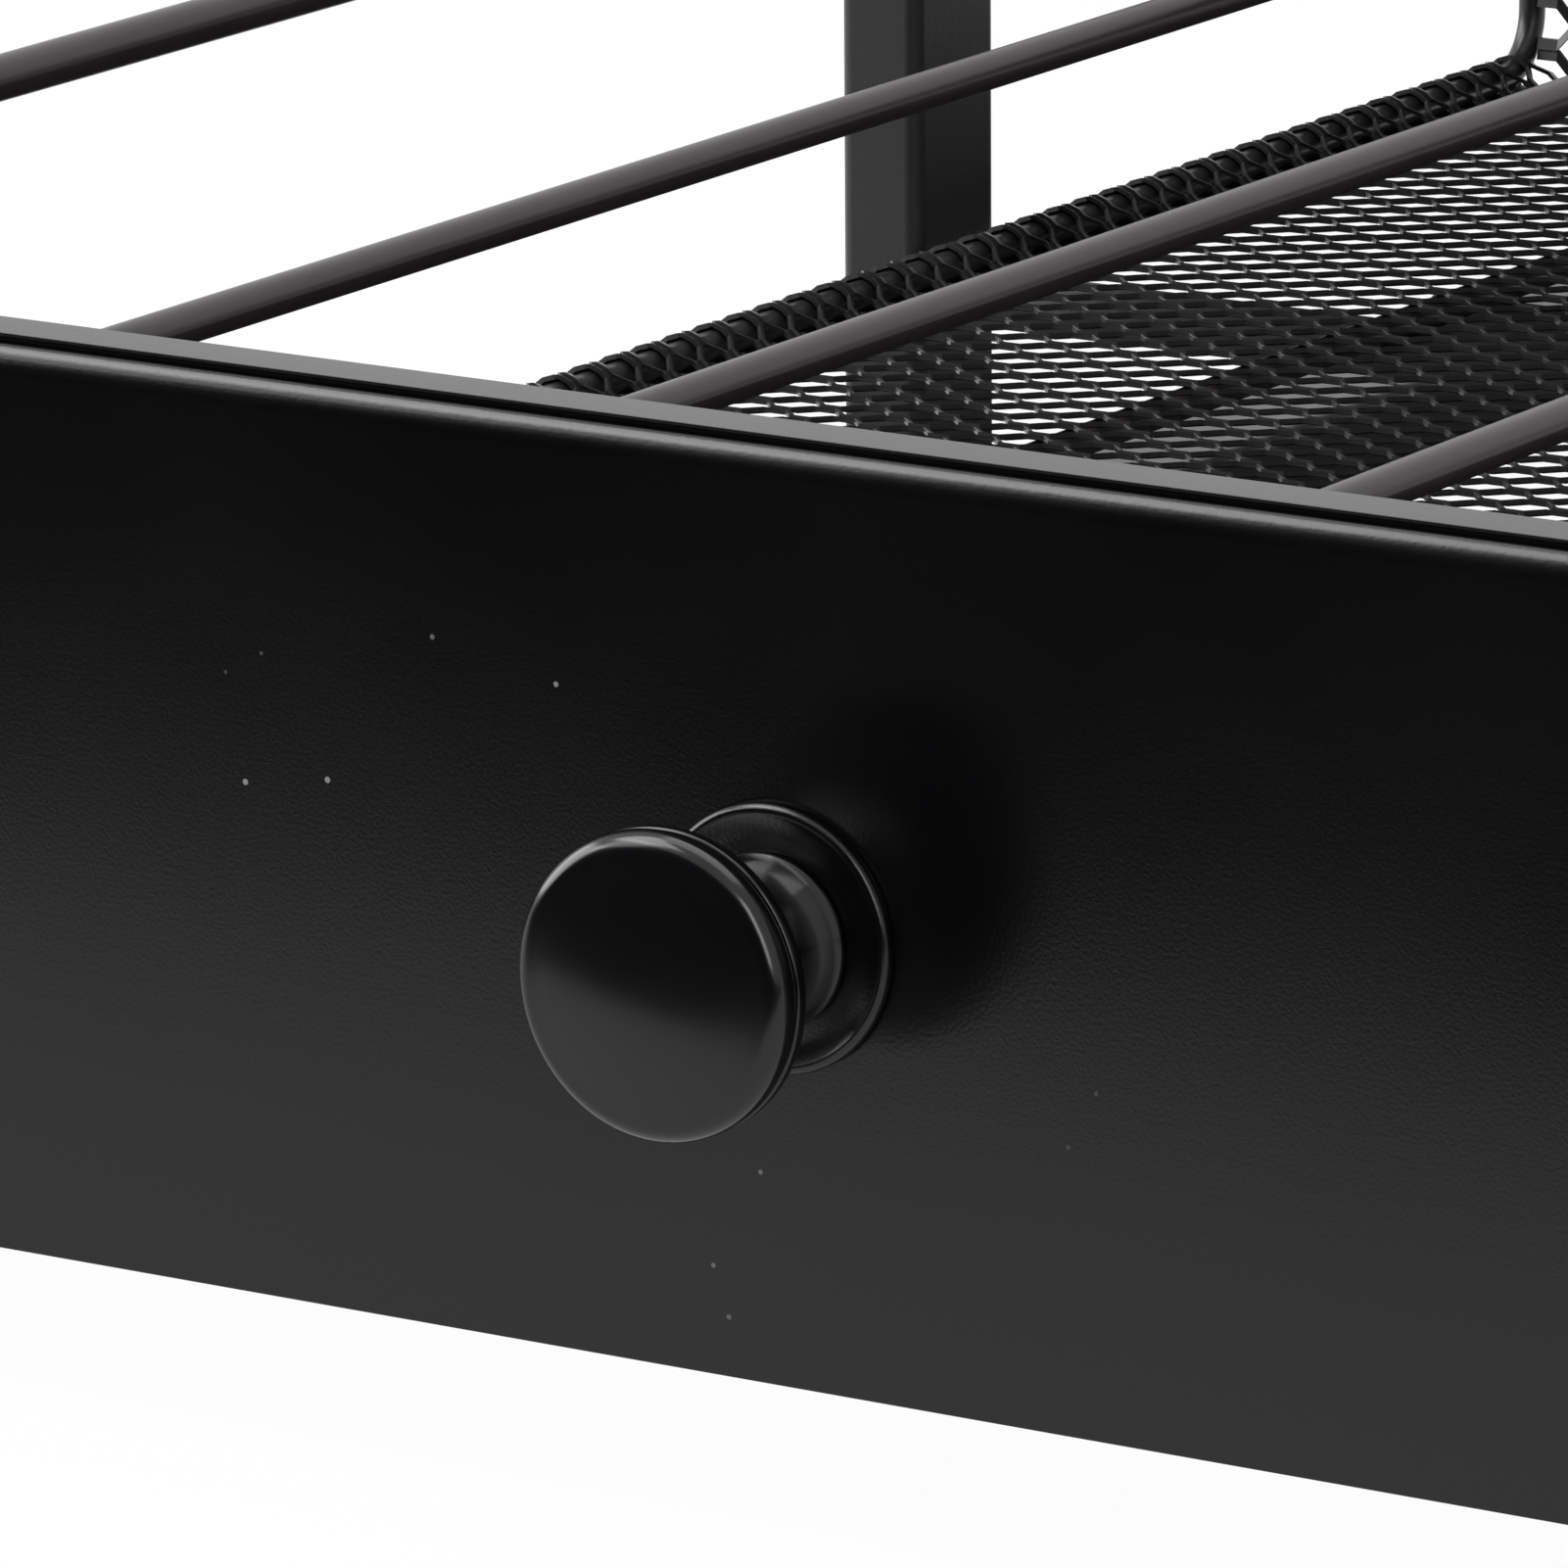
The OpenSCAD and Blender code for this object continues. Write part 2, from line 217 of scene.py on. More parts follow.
# %% A value that can be added, multiplied, subtracted and compared
class Value:
    """An output of a node. Arithmetic on it adds the Math nodes that work it out."""

    def __init__(self, nodes, socket):
        self.nodes, self.socket = nodes, socket

    def math(self, operation, first, second):
        return self.nodes.add("ShaderNodeMath", {"operation": operation}, {0: first, 1: second})

    def __add__(self, other):
        return self.math("ADD", self, other)

    __radd__ = __add__

    def __mul__(self, other):
        return self.math("MULTIPLY", self, other)

    __rmul__ = __mul__

    def __sub__(self, other):
        return self.math("SUBTRACT", self, other)

    def __rsub__(self, other):
        return self.math("SUBTRACT", other, self)

    def __lt__(self, other):
        return self.math("LESS_THAN", self, other)


class Nodes:
    """The nodes of one material, or of the world."""

    def __init__(self, tree):
        self.tree = tree

    def add(self, kind, settings=None, values=None, out=0):
        """Adds a node: its settings first, then the values or links of its sockets."""
        node = self.tree.nodes.new(kind)
        for name, value in (settings or {}).items():
            setattr(node, name, value)
        for socket, value in (values or {}).items():
            self.feed(node.inputs[socket], value)
        return Value(self, node.outputs[out])

    def feed(self, socket, value):
        """Links a value into a socket, or sets the socket if the value is a plain number."""
        if isinstance(value, Value):
            self.tree.links.new(value.socket, socket)
        else:
            socket.default_value = value

    def place(self):
        """The point on the object, in metres."""
        return self.add("ShaderNodeTexCoord", out="Object")

    def noise(self, scale, detail):
        return self.add("ShaderNodeTexNoise", {}, {"Vector": self.place(), "Scale": scale,
                                                   "Detail": detail})

    def blend(self, amount, first, second):
        """Mixes two colours."""
        return self.add("ShaderNodeMix", {"data_type": "RGBA"},
                        {0: amount, 6: first, 7: second}, out=2)


class Finish(Nodes):
    """A material in the making. Constants go on the shader's own sockets."""

    def __init__(self, name, **constants):
        self.material = bpy.data.materials.new(name)
        self.material.use_nodes = True
        super().__init__(self.material.node_tree)
        self.shader = self.tree.nodes["Principled BSDF"]
        for socket, value in constants.items():
            self.set(socket.replace("_", " "), value)

    def set(self, socket, value):
        self.feed(self.shader.inputs[socket], value)

    def bump(self, height, distance, strength):
        self.set("Normal", self.add("ShaderNodeBump", {}, {"Height": height, "Distance": distance,
                                                           "Strength": strength}))


print("finish helpers ready")

# %% [markdown]
# ## The finishes
# All the steel is black, and the differences are in the gloss. The panel is satin, with a fine
# powder texture and a few specks of dust. The wires are glossier and slightly brown. The knob is
# smooth lacquer. Patterns are read from object coordinates in metres, so a scale of 1000 is a
# pattern of about a millimetre.

# %% Satin paint
dust_colour = (0.30, 0.29, 0.28, 1)


def satin_paint(name, colour, roughness, grain, specks=()):
    """Satin powder coat: fine grain in the surface, slow changes in gloss, and specks of dust."""
    paint = Finish(name, Specular_IOR_Level=0.4)
    patches = paint.noise(28, 3)
    powder = paint.noise(3200, 2)
    paint.set("Roughness", roughness + (patches - 0.5) * 0.10 + (powder - 0.5) * 0.06)
    worn = tuple(c * 1.6 + 0.001 for c in colour)
    base = paint.blend(patches, (*colour, 1), (*worn, 1))
    dust = 0.0
    for x, z, size, strength in specks:
        away = paint.add("ShaderNodeVectorMath", {"operation": "DISTANCE"},
                         {0: paint.place(), 1: (x * mm, front_y, z * mm)}, out="Value")
        dust = (away < size * mm) * strength + dust
    if specks:
        base = paint.blend(dust, base, dust_colour)
    paint.set("Base Color", base)
    paint.bump(powder, 0.04 * mm, grain)
    return paint.material


# Each speck on the panel's face: X, Z and radius in millimetres, and how pale it is.
dust_specks = [(-29.4, 64.0, 0.20, 0.30), (-18.7, 61.8, 0.21, 0.55), (-46.1, 51.0, 0.24, 0.60),
               (-38.8, 52.1, 0.24, 0.60), (-44.5, 60.9, 0.16, 0.15), (-47.7, 59.1, 0.16, 0.12),
               (-1.5, 27.8, 0.19, 0.30), (-5.6, 20.2, 0.19, 0.30), (-4.3, 16.5, 0.20, 0.25),
               (26.7, 37.7, 0.16, 0.12), (24.4, 33.4, 0.16, 0.12)]
panel_paint = satin_paint("panel_paint", (0.0008, 0.0008, 0.0012), 0.235, 0.30, dust_specks)
frame_paint = satin_paint("frame_paint", (0.0125, 0.0122, 0.0130), 0.36, 0.5)
print("satin paints made")


# %% Wire, mesh, knob and small parts
def dip_paint(name, colour, roughness, ripple, gloss=0.45):
    """Thick glossy dip paint with slow ripples, as it runs on wire and mesh."""
    paint = Finish(name, Specular_IOR_Level=gloss)
    patches = paint.noise(90, 3)
    paint.set("Roughness", roughness + (patches - 0.5) * 0.12)
    light = tuple(c * 1.5 for c in colour)
    paint.set("Base Color", paint.blend(patches, (*colour, 1), (*light, 1)))
    paint.bump(paint.noise(420, 3), 0.1 * mm, ripple)
    return paint.material


wire_paint = dip_paint("wire_paint", (0.019, 0.0145, 0.016), 0.30, 0.16, 0.41)
mesh_paint = dip_paint("mesh_paint", (0.012, 0.0115, 0.012), 0.32, 0.12)
knob_lacquer = dip_paint("knob_lacquer", (0.0022, 0.0022, 0.0026), 0.17, 0.03, 0.40)
rubber_finish = dip_paint("rubber", (0.012, 0.012, 0.012), 0.75, 0.30)
cap_plastic = dip_paint("cap_plastic", (0.012, 0.012, 0.012), 0.48, 0.20)


def bright_zinc():
    """Zinc plate on the screw: bright metal with fine turning marks."""
    metal = Finish("bright_zinc", Metallic=1.0)
    marks = metal.noise(900, 2)
    metal.set("Base Color", metal.blend(marks, (0.52, 0.53, 0.55, 1), (0.68, 0.69, 0.72, 1)))
    metal.set("Roughness", 0.22 + marks * 0.14)
    metal.bump(marks, 0.03 * mm, 0.3)
    return metal.material


zinc = bright_zinc()
print("wire, mesh, knob, rubber, plastic and zinc finishes made")

# %% [markdown]
# ## The front panel
# The real panel is one sheet with its upper edge rolled over and its corners rounded. A cube at the
# sheet's size is the start. Its four corners are bevelled. Then it is cut at several heights below
# the upper edge, and each cut is pushed back on the front, along a quarter of an ellipse, which
# makes the roll. A narrow bevel breaks every edge that is left, because a knife-sharp edge never
# catches the light. Weighted normals keep the large face flat in the reflections, although it meets
# the roll with smooth shading.

# %% Model the front panel
corner_r = 3 * mm
roll_h, roll_d = 2.3 * mm, 1.28 * mm
crest = panel_high.z - 0.35 * mm
roll_from = crest - roll_h
panel = block(panel_low, (panel_high.x, panel_high.y, crest))
edit(panel)
pick_edges(panel, lambda a, b: abs(a.y - b.y) > 0.5 * mm)
bpy.ops.mesh.bevel(offset=corner_r, segments=10, affect="EDGES")
for degrees in range(0, 90, 9):
    cut((0, 0, roll_from + roll_h * math.sin(math.radians(degrees))), (0, 0, 1))
bpy.ops.object.mode_set(mode="OBJECT")
heights = sorted({round(v.co.z, 7) for v in panel.data.vertices if v.co.z > roll_from + near})
edit(panel)
for height in heights:
    share = min((height - roll_from) / roll_h, 1.0)
    pick_vertices(panel, lambda v: abs(v.z - height) < exact and v.y < front_y + near)
    bpy.ops.transform.translate(value=(0, roll_d * (1 - math.sqrt(1 - share ** 2)), 0))
outward(panel)
apply_modifier(panel, "BEVEL", width=0.14 * mm, segments=3, limit_method="ANGLE",
               angle_limit=math.radians(50))
print("roll made at", len(heights), "heights")
shade(panel, 40)
apply_modifier(panel, "WEIGHTED_NORMAL", keep_sharp=True)
finish_piece(panel, "panel_sheet", "drawer", panel_paint, ["front_panel"])

# %% [markdown]
# ## The folded inner front
# Behind the panel a second sheet is folded into a channel: the flange on top is the band seen over
# the panel, and the sill carries the mesh. It is drawn as a thin strip, its two edges are pulled
# back, and Solidify gives the sheet its thickness. The flange is narrower than the web, to leave
# room for the rim wire. Near the top the web is set back by half a millimetre, and this step is the
# black line behind the panel, whose edge is a little lower than the flange.

# %% Fold the inner front
sheet = 1 * mm
web_y = web_low.y + sheet / 2
flange_back = web_high.y
flange_front = front_y + 6.3 * mm
sill_z = web_low.z + sheet / 2
flange_z = web_high.z - sheet / 2
step_drops = (2.6 * mm, 1.6 * mm)
set_back = 0.5 * mm
rim_wire_d = 3.8 * mm
clear_selection()
bpy.ops.mesh.primitive_plane_add(size=1, location=(0, web_y, (sill_z + flange_z) / 2),
                                 rotation=(math.radians(90), 0, 0))
inner = bpy.context.object
inner.scale = (web_high.x - web_low.x, flange_z - sill_z, 1)
bpy.ops.object.transform_apply(location=True, rotation=True, scale=True)
edit(inner)
pick_edges(inner, lambda a, b: min(a.z, b.z) > flange_z - near)
bpy.ops.mesh.extrude_edges_move(TRANSFORM_OT_translate={"value": (0, flange_front - web_y, 0)})
pick_vertices(inner, lambda v: v.z > flange_z - near and v.y > web_y + near)
flange_share = (web_high.x - rim_wire_d) / web_high.x
bpy.ops.transform.resize(value=(flange_share, 1, 1), center_override=(0, flange_front, flange_z))
pick_edges(inner, lambda a, b: max(a.z, b.z) < sill_z + near)
bpy.ops.mesh.extrude_edges_move(TRANSFORM_OT_translate={"value": (0, flange_back - web_y, 0)})
for drop in step_drops:
    cut((0, 0, panel_high.z - drop), (0, 0, 1))
step_low = panel_high.z - step_drops[-1] - 0.1 * mm
pick_vertices(inner, lambda v: v.z > step_low and v.y < web_y + near)
bpy.ops.transform.translate(value=(0, set_back, 0))
apply_modifier(inner, "SOLIDIFY", thickness=sheet, offset=0, use_even_offset=True)
outward(inner)
apply_modifier(inner, "BEVEL", width=0.12 * mm, segments=2, limit_method="ANGLE",
               angle_limit=math.radians(40))
shade(inner, 40)
apply_modifier(inner, "WEIGHTED_NORMAL", keep_sharp=True)
finish_piece(inner, "inner_front_sheet", "drawer", panel_paint, ["inner_front"])

# %% [markdown]
# ## The knob and its plate
# Both are turned on a lathe, so half of the section is drawn point by point and spun round the
# axis. The section of the knob runs from the middle of the domed face, over a rounded rim and a
# small step, down the waisted stem to its flared foot.

# %% A lathe
def arc(middle_r, middle_y, radius, start, end, steps):
    """Points on an arc of the section, in degrees from the outward direction to the face."""
    angles = [math.radians(start + (end - start) * i / steps) for i in range(steps + 1)]
    return [(middle_r + radius * math.cos(a), middle_y + radius * math.sin(a)) for a in angles]


def turned(section, steps=128, middle=None, upright=False):
    """Spins a section of (radius, distance) points round the knob's axis, or an upright one."""
    middle = Vector(middle or (0, front_y, knob_z))
    away = Vector((0, 0, 1)) if upright else Vector((0, -1, 0))
    clear_selection()
    bpy.ops.mesh.primitive_plane_add(size=1 * mm)
    obj = bpy.context.object
    edit(obj)
    bpy.ops.mesh.select_all(action="SELECT")
    bpy.ops.mesh.merge(type="CENTER")
    places = [middle + Vector((r, 0, 0)) + away * distance for r, distance in section]
    bpy.ops.transform.translate(value=places[0])
    for start, end in zip(places, places[1:]):
        bpy.ops.mesh.extrude_region_move(TRANSFORM_OT_translate={"value": end - start})
    bpy.ops.mesh.select_all(action="SELECT")
    bpy.ops.mesh.spin(steps=steps, angle=2 * math.pi, center=middle, axis=away)
    outward(obj)
    return obj


# %% Turn the knob
face_y = front_y - knob_low.y
knob_r = (knob_high.x - knob_low.x) / 2 + 0.25 * mm
dome_r = 62 * mm
rim_r = 1.6 * mm
dome_steps = 8
section = [(0, face_y)]
for i in range(1, dome_steps + 1):
    r = (knob_r - rim_r) * i / dome_steps
    section.append((r, face_y - dome_r + math.sqrt(dome_r ** 2 - r ** 2)))
rim_y = section[-1][1] - rim_r
section += arc(knob_r - rim_r, rim_y, rim_r, 80, 0, 16)

# A groove behind the rim, a thin ring, and the shoulder that leads to the stem.
groove_y = rim_y - 0.45 * mm
section += [(knob_r - 0.02 * mm, groove_y)]
section += arc(knob_r - 0.30 * mm, groove_y - 0.30 * mm, 0.12 * mm, 90, 180, 3)
section += arc(knob_r - 0.30 * mm, groove_y - 0.75 * mm, 0.28 * mm, 90, 0, 4)
section += arc(knob_r - 0.45 * mm, groove_y - 1.35 * mm, 0.40 * mm, 0, -70, 6)

# The stem in millimetres: radius and distance behind the groove, then radius and height over the
# panel where it flares to its foot.
taper = [(9.3, 2.6), (8.0, 3.5), (7.0, 4.6), (6.1, 5.9), (5.45, 7.2), (5.1, 8.6)]
flare = [(4.95, 6.4), (4.96, 5.5), (5.08, 4.6), (5.33, 3.75), (5.72, 2.95), (6.2, 2.2)]
section += [(r * mm, groove_y - back * mm) for r, back in taper]
section += [(r * mm, height * mm) for r, height in flare]
section += arc(6.1 * mm, 1.4 * mm, 0.45 * mm, 55, -90, 7)
section += [(0, 0.95 * mm)]
knob = turned(section)
shade(knob, 35)
finish_piece(knob, "turned_knob", "drawer", knob_lacquer, ["knob"])

# %% Turn the plate
plate_r, plate_edge, plate_top = 10 * mm, 0.55 * mm, 0.92 * mm
plate = [(0, 0.02 * mm), (plate_r - 0.3 * mm, 0.02 * mm)]
plate += arc(plate_r - plate_edge, 0.62 * mm, plate_edge, -60, 110, 10)
plate += [(plate_r - 1.0 * mm, 0.95 * mm), (7.5 * mm, plate_top), (0, plate_top)]
rosette = turned(plate)
shade(rosette, 35)
finish_piece(rosette, "knob_plate", "drawer", panel_paint, ["knob_rosette"])

# %% [markdown]
# ## The knob's screw
# Behind the panel a pan-head screw holds the knob. Its head is turned with a low dome, and two
# crossed blocks cut the recess for the screwdriver with a Boolean modifier. The blocks are narrower
# at the bottom, as the real recess is.

# %% Turn the screw and cut its cross
screw_low, screw_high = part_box("knob_screw")
washer_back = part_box("screw_washer")[1].y
head_r = (screw_high.x - screw_low.x) / 2
top_d, seat_d, tip_d = front_y - screw_high.y, front_y - washer_back, front_y - screw_low.y
head_h = seat_d - top_d
shank_r, tip_r = 1.9 * mm, 1.4 * mm
head_shape = [(0, 0), (0.45, 0.06), (0.72, 0.22), (0.90, 0.45), (0.99, 0.72), (1, 0.90)]
shank = [(r * head_r, top_d + depth * head_h) for r, depth in head_shape]
shank += [(0.98 * head_r, seat_d), (shank_r, seat_d), (shank_r, tip_d - 0.5 * mm), (tip_r, tip_d),
          (0, tip_d)]
screw = turned(shank, 64)
arm_long, arm_thin, arm_deep = 2.3 * mm, 0.55 * mm, 1.6 * mm
for half_x, half_z in ((arm_long, arm_thin), (arm_thin, arm_long)):
    arm = block((-half_x, screw_high.y - arm_deep, knob_z - half_z),
                (half_x, screw_high.y + mm, knob_z + half_z))
    edit(arm)
    pick_vertices(arm, lambda v: v.y < screw_high.y)
    bpy.ops.transform.resize(value=(0.5, 1, 0.5), center_override=(0, screw_high.y, knob_z))
    apply_modifier(screw, "BOOLEAN", object=arm, operation="DIFFERENCE", solver="EXACT")
    only(arm)
    bpy.ops.object.delete()
shade(screw, 35)
finish_piece(screw, "cross_head_screw", "drawer", zinc, ["knob_screw"])

# %% [markdown]
# ## The rubber feet
# Each foot is a small moulded disc: a hollow in its sole, a round lower edge, and sides that lean
# in. One is turned round an upright axis. It is copied to the other side, and the pair to the back.

# %% Turn a foot and copy it
feet_low, feet_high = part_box("feet")
foot_r, foot_h = 5 * mm, feet_high.z - feet_low.z
hollow_d, foot_edge = 0.5 * mm, 0.7 * mm
sole = [(0, hollow_d), (2.9 * mm, hollow_d), (3.3 * mm, 0.08 * mm), (3.6 * mm, 0)]
sole += arc(foot_r - 0.75 * mm, foot_edge, foot_edge, -90, 0, 6)
sole += [(foot_r - 0.12 * mm, 1.6 * mm), (foot_r - 0.25 * mm, foot_h), (0, foot_h)]
foot = turned(sole, 48, (feet_low.x + foot_r, feet_low.y + foot_r, feet_low.z), True)
for way in ((feet_high.x - feet_low.x - 2 * foot_r, 0, 0),
            (0, feet_high.y - feet_low.y - 2 * foot_r, 0)):
    edit(foot)
    bpy.ops.mesh.select_all(action="SELECT")
    bpy.ops.mesh.duplicate_move(TRANSFORM_OT_translate={"value": way})
shade(foot, 35)
finish_piece(foot, "rubber_feet", "stand", rubber_finish, ["feet"])

# %% [markdown]
# ## The expanded mesh
# Expanded mesh is one sheet that was slit and pulled, so its strands are ribbons that zigzag and
# touch at the bonds. Each ribbon leans back a little, as the press leaves it. One zigzag is drawn
# by extruding a small block four times. Array modifiers repeat it along the ribbon and then over
# the tray.

# %% A net of expanded mesh
strand = 1.05 * mm
gauge = 0.43 * mm
bond = 2.20 * mm
lean = 0.34 * mm


def ribbon(pitch_w, pitch_l, columns, high_first):
    """One zigzag ribbon along X, with its width in Y between 0 and half a diamond's length."""
    rise = pitch_l / 2 - strand
    middle_y = (rise if high_first else 0) + strand / 2
    clear_selection()
    bpy.ops.mesh.primitive_plane_add(size=1, rotation=(0, math.radians(90), 0))
    obj = bpy.context.object
    obj.scale = (gauge, strand, 1)
    obj.location = (-bond / 2, middle_y, 0)
    bpy.ops.object.transform_apply(location=True, rotation=True, scale=True)
    edit(obj)
    pick_vertices(obj, lambda v: v.y > middle_y)
    bpy.ops.transform.translate(value=(0, 0, -lean))
    bpy.ops.mesh.select_all(action="SELECT")
    bpy.ops.transform.translate(value=(0, 0, lean / 2))
    slope = pitch_w / 2 - bond
    down = -rise if high_first else rise
    for run, climb in ((bond, 0), (slope, down), (bond, 0), (slope, -down)):
        bpy.ops.mesh.extrude_region_move(TRANSFORM_OT_translate={"value": (run, climb, 0)})
    near_x, far_x = -bond / 2, -bond / 2 + pitch_w
    pick_faces(obj, lambda m: abs(m.x - near_x) < near or abs(m.x - far_x) < near)
    bpy.ops.mesh.delete(type="FACE")
    apply_modifier(obj, "ARRAY", count=columns, use_relative_offset=False,
                   use_constant_offset=True, constant_offset_displace=(pitch_w, 0, 0),
                   use_merge_vertices=True, merge_threshold=0.01 * mm)
    edit(obj)
    bpy.ops.mesh.select_all(action="SELECT")
    bpy.ops.mesh.fill_holes(sides=4)
    bpy.ops.mesh.normals_make_consistent(inside=False)
    clear_selection()
    return obj


def net(width, length, columns, rows):
    """A flat net in the XY plane, centred on X, from y = 0, of two ribbons that are repeated."""
    pitch_w, pitch_l = width / columns, length / rows
    first = ribbon(pitch_w, pitch_l, columns, True)
    second = ribbon(pitch_w, pitch_l, columns, False)
    move_all(second, (0, pitch_l / 2, 0))
    join(first, [second])
    apply_modifier(first, "ARRAY", count=rows, use_relative_offset=False,
                   use_constant_offset=True, constant_offset_displace=(0, pitch_l, 0))
    move_all(first, (-width / 2 + bond / 2, 0, 0))
    print("net of", columns, "by", rows, "diamonds, one is", round(pitch_w / mm, 2), "by",
          round(pitch_l / mm, 2), "mm")
    return first


# %% [markdown]
# ## The tray's mesh, wrapped over its side wires
# On the real tray the edge of the mesh goes over the wire along each side and back under it, so the
# strands show as light lines across a dark rod. The net is made as wide as the flat sheet and cut
# along each fold line. What lies beyond a line is kept as a vertex group while it is flat, so it
# can be found again once it is folded. The folds are then made one after another, the outermost
# first.

# %% Plan the wrap and fold along it
wire_x = (edge_low.x + edge_high.x) / 2
wire_r = (edge_high.x - edge_low.x) / 2
wire_z = edge_low.z + wire_r
sheet_z = (floor_low.z + floor_high.z) / 2
over_r = wire_r + 0.38 * mm
ramp = 3.6 * mm
tuck = 2.2 * mm
wrap = [(-ramp, sheet_z - wire_z)]
for degrees in (128, 92, 56, 20, -16, -52, -90):
    angle = math.radians(degrees)
    wrap.append((over_r * math.cos(angle), over_r * math.sin(angle)))
wrap.append((-tuck, -over_r))


def fold_plan(path, start):
    """Where each fold lies on the flat sheet and how far it turns, and where the sheet ends."""
    line, heading, plan = start, 0.0, []
    for (x0, z0), (x1, z1) in zip(path, path[1:]):
        direction = math.atan2(z1 - z0, x1 - x0)
        plan.append((line, direction - heading))
        heading = direction
        line += math.hypot(x1 - x0, z1 - z0)
    return plan, line


def fold_side(obj, side, plan):
    """Cuts the flat net along each fold line, then folds it there, from the outside in."""
    for line, _ in plan:
        edit(obj)
        cut((side * line, 0, 0), (1, 0, 0))
    obj.vertex_groups.clear()
    for line, _ in plan:
        edit(obj)
        pick_vertices(obj, lambda v: side * v.x > line + near)
        bpy.ops.object.vertex_group_assign_new()
    for number in reversed(range(len(plan))):
        line, angle = plan[number]
        edit(obj)
        obj.vertex_groups.active_index = number
        bpy.ops.object.vertex_group_select()
        bpy.ops.transform.rotate(value=side * angle, orient_axis="Y",
                                 center_override=(side * line, 0, 0))
    clear_selection()
    obj.vertex_groups.clear()


# %% Lay the tray's mesh
diamond_w = 7.3 * mm
long_rows = 68
folds, flat_half = fold_plan(wrap, wire_x - ramp)
tray = net(2 * flat_half, floor_high.y - floor_low.y, 2 * round(flat_half / diamond_w) + 1,
           long_rows)
fold_side(tray, 1, folds)
fold_side(tray, -1, folds)
move_all(tray, (0, floor_low.y, sheet_z))
finish_piece(tray, "tray_mesh", "drawer", mesh_paint,
             ["tray_floor", "tray_lip_left", "tray_lip_right"])
tray_points = [v.co for v in tray.data.vertices]
print("tray mesh spans X", min(p.x for p in tray_points), max(p.x for p in tray_points), "Z",
      min(p.z for p in tray_points), max(p.z for p in tray_points))

# %% Stand up the back wall
wall_columns, wall_rows = 35, 8
wall = net(back_high.x - back_low.x, back_high.z - back_low.z, wall_columns, wall_rows)
edit(wall)
bpy.ops.mesh.select_all(action="SELECT")
bpy.ops.transform.rotate(value=-math.radians(90), orient_axis="X", center_override=(0, 0, 0))
move_all(wall, (0, (back_low.y + back_high.y) / 2, back_low.z))
finish_piece(wall, "back_wall_mesh", "drawer", mesh_paint, ["tray_back"])
wall_heights = [v.co.z for v in wall.data.vertices]
print("back wall spans Z", min(wall_heights), max(wall_heights))

# %% Lay the top mesh
shelf_columns = 38
shelf = net(top_high.x - top_low.x, top_high.y - top_low.y, shelf_columns, long_rows)
move_all(shelf, (0, top_low.y, (top_low.z + top_high.z) / 2))
finish_piece(shelf, "shelf_mesh", "stand", mesh_paint, ["top_mesh"])

# %% [markdown]
# ## Weld beads
# The wires and bars are welded where they meet. A bead starts as a sphere, is flattened over the
# joint and gets an uneven skin, with a fixed seed so that it comes out the same each time. Under
# the thick paint only its swelling shows. The beads of one body become one piece.

# %% Put a bead at each joint
def bead(place, size, seed):
    """A flattened lump with an uneven skin."""
    clear_selection()
    bpy.ops.mesh.primitive_uv_sphere_add(segments=20, ring_count=12, radius=1, location=place)
    lump = bpy.context.object
    lump.scale = size
    bpy.ops.object.transform_apply(location=True, rotation=True, scale=True)
    edit(lump)
    bpy.ops.mesh.select_all(action="SELECT")
    bpy.ops.transform.vertex_random(offset=0.16 * mm, uniform=0.2, normal=0.8, seed=seed)
    bpy.ops.mesh.vertices_smooth(factor=0.4)
    clear_selection()
    return lump


def bead_row(name, body, finish, places):
    """All the beads of one body as one piece."""
    lumps = [bead(place, size, number + 1) for number, (place, size) in enumerate(places)]
    join(lumps[0], lumps[1:])
    shade(lumps[0], 60)
    finish_piece(lumps[0], name, body, finish)


def ends(low, high, axis):
    """The two ends of a node's box along an axis, each with the direction that leads inwards."""
    return (low[axis], 1), (high[axis], -1)


collars, seams = [], []
for number in (1, 2, 3, 4):
    low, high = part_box("lane_wire_" + str(number))
    thick = (high.x - low.x) / 2 + 0.55 * mm
    for end, inward in ends(low, high, 1):
        place = ((low.x + high.x) / 2, end + inward * 0.15 * mm, (low.z + high.z) / 2)
        collars.append((place, (thick, 0.75 * mm, thick)))
for name in ("left", "middle", "right"):
    low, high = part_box("runner_wire_" + name)
    for end, inward in ends(low, high, 1):
        place = ((low.x + high.x) / 2, end + inward * 0.5 * mm, high.z - 1.1 * mm)
        collars.append((place, (1.9 * mm, 1.2 * mm, 0.9 * mm)))
for name in ("slide_bar_front", "slide_bar_rear", "top_rail_front", "top_rail_rear",
             "top_cross_bar_front", "top_cross_bar_rear"):
    low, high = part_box(name)
    for end, inward in ends(low, high, 0):
        place = (end + inward * 0.2 * mm, (low.y + high.y) / 2, low.z + 0.1 * mm)
        seams.append((place, (0.9 * mm, (high.y - low.y) * 0.38, 0.6 * mm)))
bead_row("weld_beads_drawer", "drawer", wire_paint, collars)
bead_row("weld_beads_stand", "stand", frame_paint, seams)

# %% [markdown]
# ## Finishes for the pieces that keep their shape
# Wires, tubes, bars, tabs, caps and the washer already have the right shape in the construction
# model, so they only get their finish. The record's material slots say which finish each node has.
# The corner wires lie inside the wrapped mesh and are dipped with it, so they share its paint.

